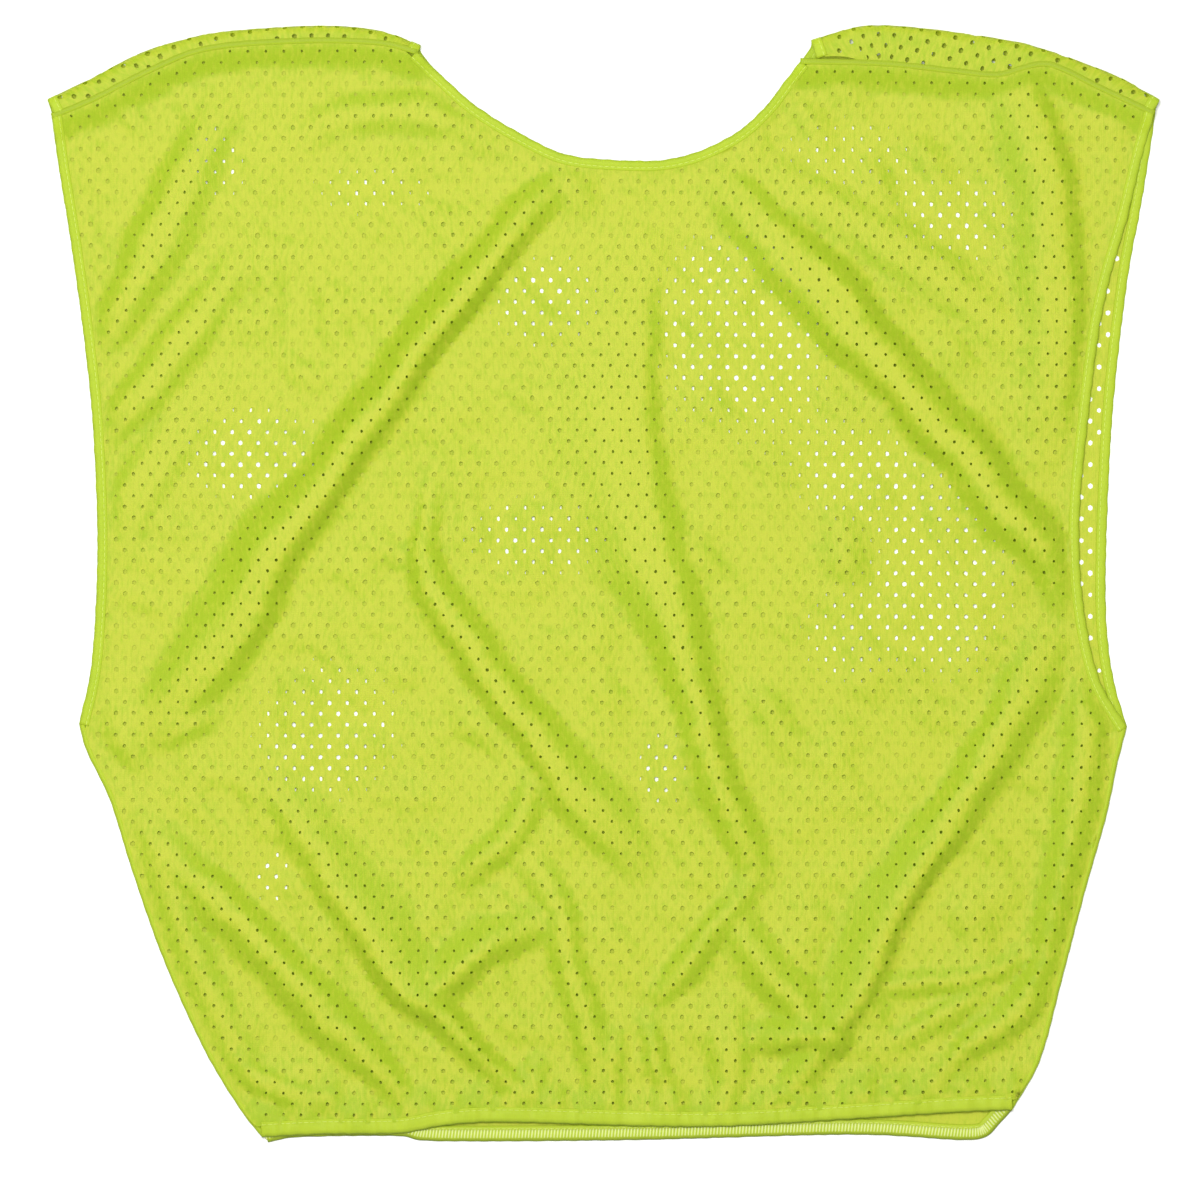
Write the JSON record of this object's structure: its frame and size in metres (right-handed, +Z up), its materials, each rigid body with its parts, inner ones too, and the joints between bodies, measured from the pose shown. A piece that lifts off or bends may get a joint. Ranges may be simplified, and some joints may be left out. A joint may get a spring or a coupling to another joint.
{
  "type": "mesh training bib",
  "caption": "Sleeveless mesh training bib lying flat, with a scooped neck, turned edges, forward shoulder seams and an elasticated waist hem.",
  "frame": {"origin": "bottom centre of the bib's box, on the surface that it lies on", "axes": "+X across the chest to the right of someone who looks down at the front, +Y from the waist hem to the neck, +Z up from the surface through back and front"},
  "size_m": [0.5538, 0.5588, 0.0117],
  "materials": {
    "mesh_cloth": "fluorescent yellow-green polyester mesh with small staggered holes, matt with a faint sheen",
    "turned_edge": "the same mesh folded double and stitched, matt",
    "waist_hem": "elastic in a casing of the same cloth, drawn in, overlocked inside, matt"
  },
  "bodies": {
    "root": {"front_panel": "mesh_cloth", "back_panel": "mesh_cloth", "neck_edge_front": "turned_edge", "neck_edge_back": "turned_edge", "left_armhole_edge_front": "turned_edge", "left_armhole_edge_back": "turned_edge", "right_armhole_edge_front": "turned_edge", "right_armhole_edge_back": "turned_edge", "waist_hem_front": "waist_hem", "waist_hem_back": "waist_hem"}
  },
  "joints": []
}
